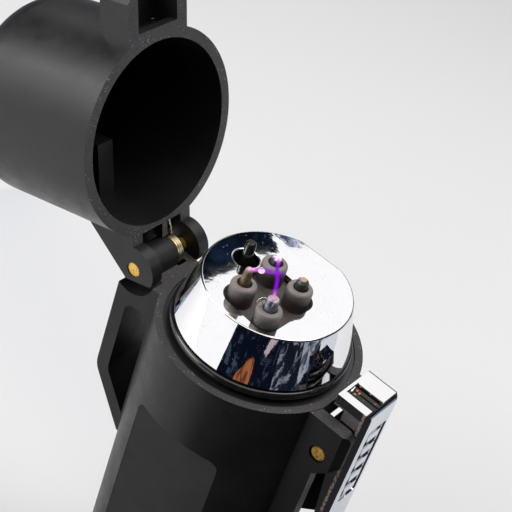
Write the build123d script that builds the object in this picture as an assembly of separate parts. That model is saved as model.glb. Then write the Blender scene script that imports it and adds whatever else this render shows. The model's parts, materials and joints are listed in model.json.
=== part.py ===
from build123d import *
import math
import os

# Pocket dual-arc lighter, standing on its base with the cap swung open.
# Millimetres. Origin: centre of the flat base. +Z: up along the body. The hinge is at -X, the latch at +X.

# Body
BODY_R = 14.0
BODY_BORE_R = 12.4
RIM_Z = 60.0
SHELL_Z = 3.0
SEAT_R = 12.9
SEAT_DEPTH = 6.0
PANEL_Y = 12.1
PANEL_HALF_X = 6.95
PANEL_Z = (10.0, RIM_Z - 11.3)
PANEL_CORNER_R = 1.5
PANEL_DRAFT = 19.0
PANEL_WALL = 1.4

# Hinge
HINGE_X = -17.8
HINGE_Z = RIM_Z + 0.2
HINGE_PIN_R = 1.0
HINGE_HALF_Y = 5.7
EAR_INNER_Y = 3.8
EAR_R = 3.4
CRADLE_R = 3.75
HINGE_FACE_X = -19.5
KNUCKLE_R = 2.4
KNUCKLE_Y = (-3.6, 0.7)
SPRING_WIRE_R = 0.24
SPRING_COIL_R = 2.05
SPRING_TURN_Y = (1.0, 1.5, 2.0)
COIL_ROOM_Y = 2.45
OPEN_ANGLE = 108.2
EAR_SLOPE = ((HINGE_FACE_X, RIM_Z + 1.6), (-13.2, RIM_Z + 7.6))
EAR_CORNER_R = 0.8
HINGE_WALL_X = -13.15
HINGE_WALL_TOP_Z = RIM_Z + 5.5
HINGE_COVER_END = (-17.6, RIM_Z + 3.4)
HINGE_COVER_WALL = 1.15
SPRING_STOP = (-15.3, -13.0, 0.1, 1.1, RIM_Z + 0.1, RIM_Z + 1.5)

# Lanyard loop under the hinge
LOOP_SLOT_X = (-17.45, -13.2)
LOOP_SLOT_Z = (RIM_Z - 23.9, RIM_Z - 5.4)
LOOP_SLOPE_Z = RIM_Z - 19.0
LOOP_END = (-13.2, RIM_Z - 27.3)
LOOP_CORNER_R = 3.5
SLOT_SLOPE_Z = RIM_Z - 18.3
SLOT_CORNER_R = (1.3, 2.5)

# Cap, drawn closed
CAP_GAP = 0.1
CAP_BORE_R = 12.5
CAP_TOP_R = 13.5
CAP_LENGTH = 24.4
CAP_ROUND = 5.6
CAP_WALL = 1.6
RIB_Z = RIM_Z + 10.0
RIB_X = (-12.3, -4.3)
RIB_Y = (-1.35, 1.5)
CORE_SCALE = 0.95

# Latch
LATCH_X = 16.0
LATCH_Z = RIM_Z - 5.3
LATCH_PIN_R = 1.0
LATCH_HALF_Y = 3.4
LATCH_FACE_X = 19.8
LATCH_TOP_Z = RIM_Z + 3.4
LATCH_END_Z = RIM_Z - 25.0
LATCH_CORNER_R = 0.8
LATCH_BOSS_R = 2.05
LATCH_LEDGE_X = 14.7
LATCH_LEDGE_Z = RIM_Z - 0.2
LATCH_BARS = 5
LATCH_BAR_PITCH = 2.6
LATCH_RECESS_Y = (-1.6, 2.4)
LATCH_RECESS_Z = (RIM_Z - 14.3, RIM_Z - 0.5)
LATCH_SCOOP_R = 1.35
LATCH_SCOOP_Y = -0.85
LATCH_SCOOP_X = (15.0, 19.2)
CHEEK_Y = (3.6, 5.45)
CHEEK_X = 19.2
RAIL_X = 16.3
CHEEK_END_Z = RIM_Z - 26.5
CHANNEL_X = 13.6
KEEPER_X = 19.6
KEEPER_HEIGHT = 4.75
KEEPER_LIP_X = 14.35
KEEPER_LIP_Z = 1.5
KEEPER_POCKET_X = 13.3
KEEPER_ROOF_Z = 4.1
KEEPER_CORNER_R = 1.2

# Head
HEAD_BASE_R = 11.86
HEAD_TOP_R = 10.04
HEAD_BASE_Z = RIM_Z + 1.8
HEAD_TOP_Z = RIM_Z + 8.8
HEAD_WALL = 0.9
HEAD_FLAT_Y = 9.45
SEAL_R = 11.7
SEAL_SECTION_R = 0.6
SEAL_Z = RIM_Z + 0.85
NECK_R = 11.1

# Electrodes: a slightly oblong pattern of four, set off the body axis
POST_CENTRE = (0.87, -3.11)
POST_ACROSS = (2.44, -0.42)
POST_ALONG = (-0.06, 3.21)
POST_R = 1.72
POST_BORE_R = 1.0
POST_TOP_Z = RIM_Z + 11.0
POST_BORE_Z = RIM_Z + 6.5
HOLDER_Z = RIM_Z - 5.0
SLAB_TOP_Z = RIM_Z + 7.9
SLAB_R = 1.75
OPENING_R = (1.87, 2.2)
ELECTRODE_R = 0.85
ELECTRODE_RISE = (1.7, 1.35, 0.8, 2.45)

# Safety plunger
PLUNGER_X = -5.6
PLUNGER_Y = 0.2
PLUNGER_R = 0.73
PLUNGER_TIP_Z = RIM_Z + 11.6
PLUNGER_TRAVEL = 1.7
PLUNGER_HOLE_R = 1.75
PLUNGER_HOLE_ROUND = 0.2
PLUNGER_COLLAR_R = 1.5
PLUNGER_COLLAR_Z = RIM_Z - 3.0
PLUNGER_FOOT_Z = RIM_Z - 6.5
GUIDE_Z = (RIM_Z - 6.35, RIM_Z - 5.65)
SPRING_RINGS = 4
SPRING_RING_WIRE_R = 0.12
SWITCH_Z = (PLUNGER_FOOT_Z - PLUNGER_TRAVEL - 1.9, PLUNGER_FOOT_Z - PLUNGER_TRAVEL - 0.1)

# Fire button on the +Y panel
BUTTON_Z = 39.0
BUTTON_R = 4.2
BUTTON_STAND = 0.9
BUTTON_TRAVEL = 0.8
BEZEL_R = 5.3

# Charging port on the +Y panel
PORT_Z = 18.0
PORT_HALF = (4.6, 1.75)
COVER_HALF = (6.2, 3.4)
COVER_Y = (11.3, 12.1)

# Base
BASE_FLANGE_Z = 2.4
GASKET_Z = (2.4, 3.0)
PLUG_TOP_Z = 8.0

# Inner parts, from the base up
CELL = (-7.6, 7.6, -8.2, -0.6, 9.4, 38.0)
BOARD_Y = (4.2, 5.2)
BOARD_X = 7.6
BOARD_Z = (10.0, 48.0)
TRANSFORMER = (-4.6, 5.6, -9.0, 2.6)
TRANSFORMER_Z = (40.0, 51.0)
CHASSIS_OUTER_R = 12.25
CHASSIS_INNER_R = 10.9
CHASSIS_Z = (8.2, 53.6)
LEAD_Z = 39.3

RUNNING = 0.05
STATIC = 0.03

SIDES = (-1, 1)


def rod(radius, z0, z1, x=0.0, y=0.0):
    return Pos(x, y, (z0 + z1) / 2) * Cylinder(radius, z1 - z0)


def tube(outer, inner, z0, z1, x=0.0, y=0.0):
    return rod(outer, z0, z1, x, y) - rod(inner, z0 - 1, z1 + 1, x, y)


def cross_rod(radius, y0, y1, x, z):
    return Pos(x, (y0 + y1) / 2, z) * Rot(90, 0, 0) * Cylinder(radius, y1 - y0)


def block(x0, x1, y0, y1, z0, z1):
    return Pos((x0 + x1) / 2, (y0 + y1) / 2, (z0 + z1) / 2) * Box(x1 - x0, y1 - y0, z1 - z0)


def side_profile(sketch, y0, y1):
    """Extrudes a sketch of (x, z) points from y0 to y1."""
    plane = Plane(origin=(0, y0, 0), x_dir=(1, 0, 0), z_dir=(0, -1, 0))
    return extrude(plane * sketch, amount=y1 - y0, dir=(0, 1, 0))


def rounded_panel(half_x, half_z, corner, y0, y1, z):
    return side_profile(Pos(0, z) * RectangleRounded(2 * half_x, 2 * half_z, corner), y0, y1)


def cone(r0, r1, z0, z1):
    return Pos(0, 0, (z0 + z1) / 2) * Cone(r0, r1, z1 - z0)


def post_places():
    """Front, right, back and left posts, in that order."""
    for u, v in ((1, -1), (1, 1), (-1, 1), (-1, -1)):
        x = POST_CENTRE[0] + u * POST_ACROSS[0] + v * POST_ALONG[0]
        y = POST_CENTRE[1] + u * POST_ACROSS[1] + v * POST_ALONG[1]
        yield x, y


def slab(front_back_r, left_right_r, z0, z1):
    """Upright prism whose outline is drawn tight round a circle at each post."""
    radii = (front_back_r, left_right_r, front_back_r, left_right_r)
    rings = [Pos(x, y) * Circle(radius) for (x, y), radius in zip(post_places(), radii)]
    outline = make_hull([edge for ring in rings for edge in ring.edges()])
    return extrude(Pos(0, 0, z0) * outline, amount=z1 - z0, dir=(0, 0, 1))


def eased(face, corner, radius):
    """Rounds the corner of a sketch nearest to the given point."""
    return fillet(face.vertices().sort_by_distance((corner[0], corner[1], 0))[0], radius)


def panel_cut(side):
    """Flat-bottomed recess with sloping walls."""
    height = PANEL_Z[1] - PANEL_Z[0]
    middle = (PANEL_Z[1] + PANEL_Z[0]) / 2
    plane = Plane(origin=(0, side * PANEL_Y, middle), x_dir=(1, 0, 0), z_dir=(0, side, 0))
    floor = RectangleRounded(2 * PANEL_HALF_X, height, PANEL_CORNER_R)
    return extrude(plane * floor, amount=BODY_R + 1 - PANEL_Y, taper=-PANEL_DRAFT)


def body_cavity():
    room = rod(BODY_BORE_R, SHELL_Z - 1, RIM_Z + 1)
    inner_y = PANEL_Y - PANEL_WALL
    flats = block(-BODY_R, BODY_R, -inner_y, inner_y, SHELL_Z - 1, RIM_Z - SEAT_DEPTH - 1.0)
    upper = rod(BODY_BORE_R, RIM_Z - SEAT_DEPTH - 4.0, RIM_Z + 1)
    seat = rod(SEAT_R, RIM_Z - SEAT_DEPTH, RIM_Z + 1)
    return (room & flats) + upper + seat


def hinge_block():
    outline = Polyline(
        (-12.8, RIM_Z - 0.3),
        (HINGE_FACE_X, RIM_Z - 0.3),
        (HINGE_FACE_X, LOOP_SLOPE_Z),
        LOOP_END,
        (-12.8, LOOP_END[1]),
        close=True,
    )
    face = eased(make_face(outline), (HINGE_FACE_X, LOOP_SLOPE_Z), LOOP_CORNER_R)
    body = side_profile(face, -HINGE_HALF_Y, HINGE_HALF_Y)
    slot = side_profile(loop_slot(), -HINGE_HALF_Y - 1, HINGE_HALF_Y + 1)
    body -= slot
    for side in SIDES:
        y0, y1 = sorted((side * (EAR_INNER_Y - 0.15), side * (HINGE_HALF_Y + 1)))
        body -= cross_rod(CRADLE_R, y0, y1, HINGE_X, HINGE_Z)
    return body


def loop_slot():
    x0, x1 = LOOP_SLOT_X
    z0, z1 = LOOP_SLOT_Z
    face = make_face(Polyline((x0, z1), (x1, z1), (x1, z0), (x0, SLOT_SLOPE_Z), close=True))
    face = eased(face, (x0, z1), SLOT_CORNER_R[0])
    return eased(face, (x0, SLOT_SLOPE_Z), SLOT_CORNER_R[1])


def latch_cheeks():
    outline = Polyline(
        (12.5, RIM_Z - 0.1),
        (CHEEK_X, RIM_Z - 0.1),
        (CHEEK_X, RIM_Z - 6.0),
        (RAIL_X, RIM_Z - 8.7),
        (RAIL_X, RIM_Z - 23.5),
        (12.5, CHEEK_END_Z),
        close=True,
    )
    outer_y = CHEEK_Y[1]
    body = side_profile(make_face(outline), -outer_y, outer_y)
    for side in SIDES:
        corner = Polyline(
            (CHEEK_X - 0.95, side * (outer_y + 0.01)),
            (CHEEK_X + 0.01, side * (outer_y - 1.1)),
            (CHEEK_X + 0.01, side * (outer_y + 0.01)),
            close=True,
        )
        body -= extrude(Pos(0, 0, RIM_Z - 30) * make_face(corner), amount=31, dir=(0, 0, 1))
    rounded = side_profile(
        Pos(CHEEK_X - 0.6, RIM_Z - 0.7) * Rectangle(1.3, 1.3) - Pos(CHEEK_X - 1.2, RIM_Z - 1.3) * Circle(1.2),
        -outer_y - 1,
        outer_y + 1,
    )
    return body - rounded


def body_shell():
    """One moulding: tube, hinge block with lanyard loop, latch cheeks, two flat grip panels."""
    tube_blank = rod(BODY_R, SHELL_Z, RIM_Z)
    shell = tube_blank + hinge_block() + latch_cheeks()
    shell -= block(CHANNEL_X, 25, -CHEEK_Y[0], CHEEK_Y[0], CHEEK_END_Z - 1, RIM_Z + 1)
    knuckle = cross_rod(KNUCKLE_R, KNUCKLE_Y[0], KNUCKLE_Y[1], HINGE_X, HINGE_Z)
    web = block(HINGE_FACE_X, HINGE_X + KNUCKLE_R - 0.2, KNUCKLE_Y[0], KNUCKLE_Y[1], RIM_Z - 3, HINGE_Z)
    shell -= cross_rod(KNUCKLE_R + 0.3, KNUCKLE_Y[1], COIL_ROOM_Y, HINGE_X, HINGE_Z)
    shell += knuckle + web
    shell -= cross_rod(HINGE_PIN_R + STATIC, -HINGE_HALF_Y, HINGE_HALF_Y, HINGE_X, HINGE_Z)
    shell -= side_profile(loop_slot(), -HINGE_HALF_Y - 1, HINGE_HALF_Y + 1)
    for side in SIDES:
        shell -= panel_cut(side)
        y0, y1 = sorted((side * (CHEEK_Y[0] - 1), side * (CHEEK_Y[1] + 1)))
        shell -= cross_rod(LATCH_PIN_R + STATIC, y0, y1, LATCH_X, LATCH_Z)
        y0, y1 = sorted((side * (CHEEK_Y[1] - 0.35), side * (CHEEK_Y[1] + 1)))
        shell -= cross_rod(LATCH_PIN_R + 0.3, y0, y1, LATCH_X, LATCH_Z)
    shell -= body_cavity()
    shell -= cross_rod(BEZEL_R + STATIC, PANEL_Y - PANEL_WALL - 1, BODY_R, 0, BUTTON_Z)
    shell -= rounded_panel(COVER_HALF[0] + 0.15, COVER_HALF[1] + 0.15, 1.2, COVER_Y[0] - 0.05, BODY_R, PORT_Z)
    shell -= rounded_panel(PORT_HALF[0], PORT_HALF[1], 1.6, PANEL_Y - PANEL_WALL - 1, BODY_R, PORT_Z)
    shell -= cross_rod(1.0 + STATIC, PANEL_Y - PANEL_WALL - 1, BODY_R, 0, BUTTON_Z + 7.0)
    return shell


def cap_tube():
    """The round cap with its wall, closed end and rounded crown."""
    z0 = RIM_Z + CAP_GAP
    z1 = RIM_Z + CAP_LENGTH
    outer = cone(BODY_R, CAP_TOP_R, z0, z1)
    top_edge = outer.edges().filter_by(GeomType.CIRCLE).sort_by(Axis.Z)[-1]
    outer = fillet(top_edge, CAP_ROUND)
    inner = cone(CAP_BORE_R, CAP_TOP_R - CAP_WALL, z0 - 0.01, z1 - CAP_WALL)
    inner_edge = inner.edges().filter_by(GeomType.CIRCLE).sort_by(Axis.Z)[-1]
    return outer, fillet(inner_edge, CAP_ROUND - CAP_WALL + 0.4)


def cap_ear(side):
    """Ear of the hinge, flat on the outside and round under the pin."""
    outline = Polyline(
        (-12.9, RIM_Z + CAP_GAP),
        (-14.4, RIM_Z + CAP_GAP),
        (HINGE_X, HINGE_Z),
        (HINGE_FACE_X, HINGE_Z),
        EAR_SLOPE[0],
        EAR_SLOPE[1],
        (-12.9, EAR_SLOPE[1][1]),
        close=True,
    )
    lobe = Pos(HINGE_X, HINGE_Z) * Circle(EAR_R)
    lobe -= Pos(HINGE_FACE_X - 5, HINGE_Z) * Rectangle(10, 20)
    lobe -= Pos(HINGE_X, HINGE_Z + 10) * Rectangle(20, 20)
    corner_z = HINGE_Z - math.sqrt(EAR_R**2 - (HINGE_X - HINGE_FACE_X) ** 2)
    sketch = make_face(outline) + eased(lobe, (HINGE_FACE_X, corner_z), EAR_CORNER_R)
    y0, y1 = sorted((side * EAR_INNER_Y, side * HINGE_HALF_Y))
    ear = side_profile(sketch, y0, y1)
    return ear - cross_rod(HINGE_PIN_R + RUNNING, -HINGE_HALF_Y - 1, HINGE_HALF_Y + 1, HINGE_X, HINGE_Z)


def hinge_cover():
    """Wall between the ears that closes the hinge pocket on the outside."""
    (x0, z0), (x1, z1) = HINGE_COVER_END, EAR_SLOPE[1]
    run = math.hypot(x1 - x0, z1 - z0)
    in_x = HINGE_COVER_WALL * (z1 - z0) / run
    in_z = -HINGE_COVER_WALL * (x1 - x0) / run
    outline = Polyline(
        (x0, z0),
        (x1, z1),
        (-12.9, z1),
        (-12.9, z1 + 1.2 * in_z),
        (x1 + in_x, z1 + in_z),
        (x0 + in_x, z0 + in_z),
        close=True,
    )
    return side_profile(make_face(outline), -EAR_INNER_Y - 0.1, EAR_INNER_Y + 0.1)


def cap_keeper():
    """Channelled block that takes the latch head; its lip holds the latch tooth."""
    z0 = RIM_Z + CAP_GAP
    z1 = RIM_Z + KEEPER_HEIGHT
    outer_y = CHEEK_Y[1]
    outline = Polyline(
        (12.6, z0),
        (KEEPER_X, z0),
        (KEEPER_X, z1 - 0.1),
        (14.6, z1),
        (13.2, z1 - 0.9),
        (12.6, z1 - 1.4),
        close=True,
    )
    face = eased(make_face(outline), (KEEPER_X, z1 - 0.1), KEEPER_CORNER_R)
    body = side_profile(face, -outer_y, outer_y)
    for side in SIDES:
        corner = Polyline(
            (KEEPER_X - 1.0, side * (outer_y + 0.01)),
            (KEEPER_X + 0.01, side * (outer_y - 1.1)),
            (KEEPER_X + 0.01, side * (outer_y + 0.01)),
            close=True,
        )
        body -= extrude(Pos(0, 0, z0 - 1) * make_face(corner), amount=8, dir=(0, 0, 1))
    return body


def cap_shell():
    """One moulding: cap, hinge ears, keeper and the inner rib that presses the safety plunger."""
    outer, inner = cap_tube()
    crown_core = scale(outer, (CORE_SCALE, CORE_SCALE, 1))
    cap = outer + cap_keeper()
    cap -= block(-25, HINGE_WALL_X, -EAR_INNER_Y, EAR_INNER_Y, RIM_Z - 1, HINGE_WALL_TOP_Z)
    for side in SIDES:
        cap += cap_ear(side)
    cap += hinge_cover() + block(*SPRING_STOP)
    cap -= inner
    half_y = CHEEK_Y[0]
    z0 = RIM_Z - 1
    cap -= block(KEEPER_LIP_X, 25, -half_y, half_y, z0, RIM_Z + KEEPER_ROOF_Z)
    cap -= block(KEEPER_POCKET_X, 25, -half_y, half_y, RIM_Z + KEEPER_LIP_Z, RIM_Z + KEEPER_ROOF_Z)
    rib = block(RIB_X[0], RIB_X[1], RIB_Y[0], RIB_Y[1], RIB_Z, RIM_Z + CAP_LENGTH - CAP_WALL + 0.4)
    return opened(cap + (rib & crown_core))


def opened(part):
    return part.rotate(Axis((HINGE_X, 0, HINGE_Z), (0, -1, 0)), OPEN_ANGLE)


def hinge_pin():
    return cross_rod(HINGE_PIN_R, -HINGE_HALF_Y + 0.15, HINGE_HALF_Y - 0.15, HINGE_X, HINGE_Z)


def hinge_spring():
    """Closed turns of the torsion spring, side by side round the hinge pin."""
    turn = Rot(90, 0, 0) * Torus(SPRING_COIL_R, SPRING_WIRE_R)
    return Compound(children=[Pos(HINGE_X, y, HINGE_Z) * turn for y in SPRING_TURN_Y])


def hinge_spring_leg():
    """Cap leg of the torsion spring: it leaves the last turn and ends against the outside of the cap."""
    foot = Vector(HINGE_X + SPRING_COIL_R + SPRING_WIRE_R + 0.02, SPRING_TURN_Y[-1], HINGE_Z)
    end = Vector(HINGE_WALL_X - 0.03, SPRING_TURN_Y[-1], RIM_Z + 0.75)
    along = Plane(origin=foot, z_dir=end - foot)
    return opened(extrude(along * Circle(SPRING_WIRE_R), amount=(end - foot).length - 0.25))


def head_collar():
    """Inner neck of the head: flange in the body, groove for the seal, tower under the chromed cover."""
    collar = rod(SEAT_R - 0.05, RIM_Z - SEAT_DEPTH + STATIC, RIM_Z - 0.15)
    collar += rod(NECK_R, RIM_Z - 0.2, HEAD_BASE_Z - STATIC)
    inset = HEAD_WALL + 0.3
    collar += cone(HEAD_BASE_R - inset, HEAD_TOP_R - inset, HEAD_BASE_Z - 0.1, HEAD_TOP_Z - HEAD_WALL - 0.05)
    collar -= rod(9.6, RIM_Z - SEAT_DEPTH - 1, RIM_Z - 2.0)
    collar -= slab(SLAB_R + 0.05, SLAB_R + 0.05, RIM_Z - 3, HEAD_TOP_Z)
    collar -= rod(PLUNGER_R + RUNNING, RIM_Z - 3, HEAD_TOP_Z, PLUNGER_X, PLUNGER_Y)
    collar -= rod(PLUNGER_HOLE_R, RIM_Z + 4.5, HEAD_TOP_Z, PLUNGER_X, PLUNGER_Y)
    return collar


def seal_ring():
    return Pos(0, 0, SEAL_Z) * Torus(SEAL_R, SEAL_SECTION_R)


def head_cover():
    """Chromed conical cap: flat facet at +Y, rounded opening for the ceramic, round plunger hole."""
    slope = (HEAD_BASE_R - HEAD_TOP_R) / (HEAD_TOP_Z - HEAD_BASE_Z)
    outer = cone(HEAD_BASE_R, HEAD_TOP_R, HEAD_BASE_Z, HEAD_TOP_Z)
    tilt = math.degrees(math.atan(slope))
    facet = Pos(0, HEAD_FLAT_Y, HEAD_TOP_Z) * Rot(tilt, 0, 0) * Pos(0, 5, 0) * Box(40, 10, 40)
    outer -= facet
    outer = fillet(outer.faces().sort_by(Axis.Z)[-1].edges(), 0.3)
    inner_r0, inner_r1 = HEAD_BASE_R - HEAD_WALL, HEAD_TOP_R - HEAD_WALL
    inner = cone(inner_r0, inner_r1, HEAD_BASE_Z - 0.01, HEAD_TOP_Z - HEAD_WALL)
    cover = outer - inner
    cover -= slab(*OPENING_R, HEAD_TOP_Z - 3, HEAD_TOP_Z + 1)
    cover -= rod(PLUNGER_HOLE_R, HEAD_TOP_Z - 3, HEAD_TOP_Z + 1, PLUNGER_X, PLUNGER_Y)
    rings = cover.edges().filter_by(GeomType.CIRCLE)
    hole_rim = rings.sort_by_distance((PLUNGER_X, PLUNGER_Y, HEAD_TOP_Z))[0]
    return fillet(hole_rim, PLUNGER_HOLE_ROUND)


def electrode_holder():
    """Ceramic block: slab level with the chromed top, and four hollow posts."""
    holder = slab(SLAB_R, SLAB_R, HOLDER_Z, SLAB_TOP_Z)
    for x, y in post_places():
        post = rod(POST_R, SLAB_TOP_Z - 1, POST_TOP_Z, x, y)
        top = post.edges().filter_by(GeomType.CIRCLE).sort_by(Axis.Z)[-1]
        holder += fillet(top, 0.5)
    for x, y in post_places():
        holder -= rod(POST_BORE_R, POST_BORE_Z, POST_TOP_Z + 1, x, y)
        holder -= rod(ELECTRODE_R + STATIC, HOLDER_Z - 1, POST_BORE_Z + 1, x, y)
    return holder


def electrodes():
    rods = []
    for (x, y), rise in zip(post_places(), ELECTRODE_RISE):
        pin = rod(ELECTRODE_R, HOLDER_Z + 0.5, POST_TOP_Z + rise, x, y)
        top = pin.edges().filter_by(GeomType.CIRCLE).sort_by(Axis.Z)[-1]
        rods.append(fillet(top, 0.2))
    return Compound(children=rods)


def hv_leads():
    leads = [rod(0.55, TRANSFORMER_Z[1] + 0.02, HOLDER_Z + 0.48, x, y) for x, y in post_places()]
    return Compound(children=leads)


def safety_plunger():
    """Black pin with a collar for its spring; it stands out of the chromed head when the cap is open."""
    pin = rod(PLUNGER_R, PLUNGER_FOOT_Z, PLUNGER_TIP_Z, PLUNGER_X, PLUNGER_Y)
    tip = pin.edges().filter_by(GeomType.CIRCLE).sort_by(Axis.Z)[-1]
    pin = fillet(tip, 0.5)
    return pin + rod(PLUNGER_COLLAR_R, PLUNGER_COLLAR_Z, PLUNGER_COLLAR_Z + 0.8, PLUNGER_X, PLUNGER_Y)


def plunger_spring():
    """Coil spring between the guide and the collar of the plunger, as level turns."""
    wire = SPRING_RING_WIRE_R
    low, high = GUIDE_Z[1] + wire + 0.03, PLUNGER_COLLAR_Z - wire - 0.03
    pitch = (high - low) / (SPRING_RINGS - 1)
    turns = [Pos(PLUNGER_X, PLUNGER_Y, low + i * pitch) * Torus(1.15, wire) for i in range(SPRING_RINGS)]
    return Compound(children=turns)


def plunger_guide():
    """Bridge on the deck of the inner frame: guides the plunger's foot and holds the safety switch."""
    bridge = block(-9.1, -4.0, PLUNGER_Y - 2.9, PLUNGER_Y + 2.9, *GUIDE_Z)
    for y in (-2.9, 2.45):
        bridge += block(-7.0, -4.9, PLUNGER_Y + y, PLUNGER_Y + y + 0.45, SWITCH_Z[0], GUIDE_Z[1])
    return bridge - rod(PLUNGER_R + RUNNING, GUIDE_Z[0] - 1, GUIDE_Z[1] + 1, PLUNGER_X, PLUNGER_Y)


def latch_lever():
    """Chromed lever: hooked head, pin boss and a long arm that is pressed to free the cap."""
    outline = Polyline(
        (14.6, LATCH_TOP_Z),
        (LATCH_FACE_X, LATCH_TOP_Z),
        (LATCH_FACE_X, LATCH_END_Z + 1.6),
        (LATCH_FACE_X - 0.6, LATCH_END_Z),
        (LATCH_FACE_X - 1.5, LATCH_END_Z),
        (18.1, LATCH_END_Z + 1.0),
        (18.1, LATCH_Z - 10.8),
        (17.3, LATCH_Z - 3.2),
        (16.0, LATCH_Z),
        (16.2, LATCH_Z + 2.0),
        (16.2, LATCH_LEDGE_Z - 1.2),
        (LATCH_LEDGE_X, LATCH_LEDGE_Z - 0.7),
        (LATCH_LEDGE_X, LATCH_LEDGE_Z),
        (16.2, LATCH_LEDGE_Z),
        (16.2, RIM_Z + 1.7),
        (14.6, RIM_Z + 1.7),
        close=True,
    )
    sketch = eased(make_face(outline), (LATCH_FACE_X, LATCH_TOP_Z), LATCH_CORNER_R)
    sketch += Pos(LATCH_X, LATCH_Z) * Circle(LATCH_BOSS_R)
    lever = side_profile(sketch, -LATCH_HALF_Y, LATCH_HALF_Y)
    for side in SIDES:
        corner = Polyline(
            (LATCH_FACE_X - 0.7, side * (LATCH_HALF_Y + 0.01)),
            (LATCH_FACE_X + 0.01, side * (LATCH_HALF_Y - 0.6)),
            (LATCH_FACE_X + 0.01, side * (LATCH_HALF_Y + 0.01)),
            close=True,
        )
        lever -= extrude(Pos(0, 0, LATCH_END_Z - 1) * make_face(corner), amount=40, dir=(0, 0, 1))
    lever -= cross_rod(LATCH_PIN_R + RUNNING, -5, 5, LATCH_X, LATCH_Z)
    lever -= latch_scoop() + latch_recess()
    y0, y1 = LATCH_RECESS_Y
    for step in range(LATCH_BARS):
        z = LATCH_RECESS_Z[1] - 1.7 - step * LATCH_BAR_PITCH
        lever += block(LATCH_FACE_X - 0.4, LATCH_FACE_X - 0.05, y0 + 0.7, y1 - 0.7, z - 0.7, z + 0.7)
    return lever


def latch_scoop():
    """Rounded hollow along the top of the latch head."""
    x0, x1 = LATCH_SCOOP_X
    hollow = Rot(0, 90, 0) * Cylinder(LATCH_SCOOP_R, x1 - x0)
    return Pos((x0 + x1) / 2, LATCH_SCOOP_Y, LATCH_TOP_Z + LATCH_SCOOP_R / 3) * hollow


def latch_recess():
    """Shallow panel on the outer face of the lever."""
    y0, y1 = LATCH_RECESS_Y
    z0, z1 = LATCH_RECESS_Z
    recess = block(LATCH_FACE_X - 0.35, LATCH_FACE_X + 1, y0, y1, z0, z1)
    return fillet(recess.edges().filter_by(Axis.X), 0.5)


def latch_pin():
    return cross_rod(LATCH_PIN_R, -CHEEK_Y[1] + 0.2, CHEEK_Y[1] - 0.2, LATCH_X, LATCH_Z)


def chassis_half(side):
    """Half of the inner frame: a split sleeve with flats that carries the cell and the board."""
    outer_y = PANEL_Y - PANEL_WALL - 0.1
    flats = block(-BODY_R, BODY_R, -outer_y, outer_y, 0, RIM_Z)
    sleeve = tube(CHASSIS_OUTER_R, CHASSIS_INNER_R, CHASSIS_Z[0], CHASSIS_Z[1]) & flats
    deck = tube(CHASSIS_INNER_R + 0.2, 8.3, CHASSIS_Z[1] - 1.2, CHASSIS_Z[1])
    x0, x1 = sorted((side * 0.03, side * BODY_R))
    for middle, half in ((PORT_Z, 5.5), (BUTTON_Z, 5.6)):
        sleeve -= block(-7.0, 7.0, 8.0, BODY_R, middle - half, middle + half)
    return (sleeve + deck) & block(x0, x1, -BODY_R, BODY_R, 0, RIM_Z)


def battery_cell():
    return fillet(block(*CELL).edges().filter_by(Axis.Z), 2.0)


def battery_leads():
    leads = []
    for x in (-2.5, 2.5):
        start = (x, -2.0, CELL[5] + 0.02)
        corner = (x, -2.0, LEAD_Z)
        end = (x, BOARD_Y[0] - 0.02, LEAD_Z)
        leads.append(FilletPolyline(start, corner, end, radius=0.9))
    return leads


def main_board():
    board = block(-BOARD_X, BOARD_X, BOARD_Y[0], BOARD_Y[1], BOARD_Z[0], BOARD_Z[1])
    board = fillet(board.edges().filter_by(Axis.Y), 0.8)
    for z in (13.0, 45.0):
        board -= cross_rod(0.9, 0, 10, 6.0, z)
    return board


def board_components():
    y = BOARD_Y[1] + 0.02
    parts = [
        block(-5.0, -1.0, y, y + 1.3, 24.5, 28.5),
        block(1.0, 5.6, y, y + 1.8, 25.0, 29.5),
        block(-5.5, -3.3, y, y + 0.9, 31.0, 33.2),
        block(-5.5, -4.0, y, y + 1.2, 44.0, 46.0),
    ]
    parts += [block(x, x + 0.9, y, y + 0.6, 22.0, 23.6) for x in (-4.5, -2.5, -0.5, 1.5, 3.5)]
    return Compound(children=parts)


def tact_switch():
    y = BOARD_Y[1] + 0.02
    case = block(-3.0, 3.0, y, y + 2.3, BUTTON_Z - 3.0, BUTTON_Z + 3.0)
    return case + cross_rod(1.7, y + 2.2, y + 3.1, 0, BUTTON_Z)


def fire_button():
    """Round button: pad outside, flange behind the bezel and a stem to the switch."""
    pad = cross_rod(BUTTON_R, PANEL_Y - 1.2, PANEL_Y + BUTTON_STAND, 0, BUTTON_Z)
    face = pad.edges().filter_by(GeomType.CIRCLE).sort_by(Axis.Y)[-1]
    pad = fillet(face, 0.5)
    pad -= cross_rod(2.6, PANEL_Y + BUTTON_STAND - 0.25, PANEL_Y + 3, 0, BUTTON_Z)
    stem = cross_rod(1.4, BOARD_Y[1] + 3.12 + BUTTON_TRAVEL + 0.1, PANEL_Y - 1.1, 0, BUTTON_Z)
    return pad + stem


def button_bezel():
    ring = cross_rod(BEZEL_R, PANEL_Y - PANEL_WALL, PANEL_Y + 0.35, 0, BUTTON_Z)
    rim = ring.edges().filter_by(GeomType.CIRCLE).sort_by(Axis.Y)[-1]
    ring = fillet(rim, 0.3)
    return ring - cross_rod(BUTTON_R + 0.12, 0, 20, 0, BUTTON_Z)


def charge_light():
    return cross_rod(1.0, BOARD_Y[1] + 1.5, PANEL_Y - 0.1, 0, BUTTON_Z + 7.0)


def usb_receptacle():
    y0, y1 = BOARD_Y[1] + 0.02, COVER_Y[0] - 0.9
    shell = rounded_panel(4.47, 1.63, 1.5, y0, y1, PORT_Z)
    shell -= rounded_panel(4.17, 1.33, 1.2, y0 + 0.8, y1 + 1, PORT_Z)
    return shell + block(-3.35, 3.35, y0 + 0.7, y1 - 0.6, PORT_Z - 0.35, PORT_Z + 0.35)


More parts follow.
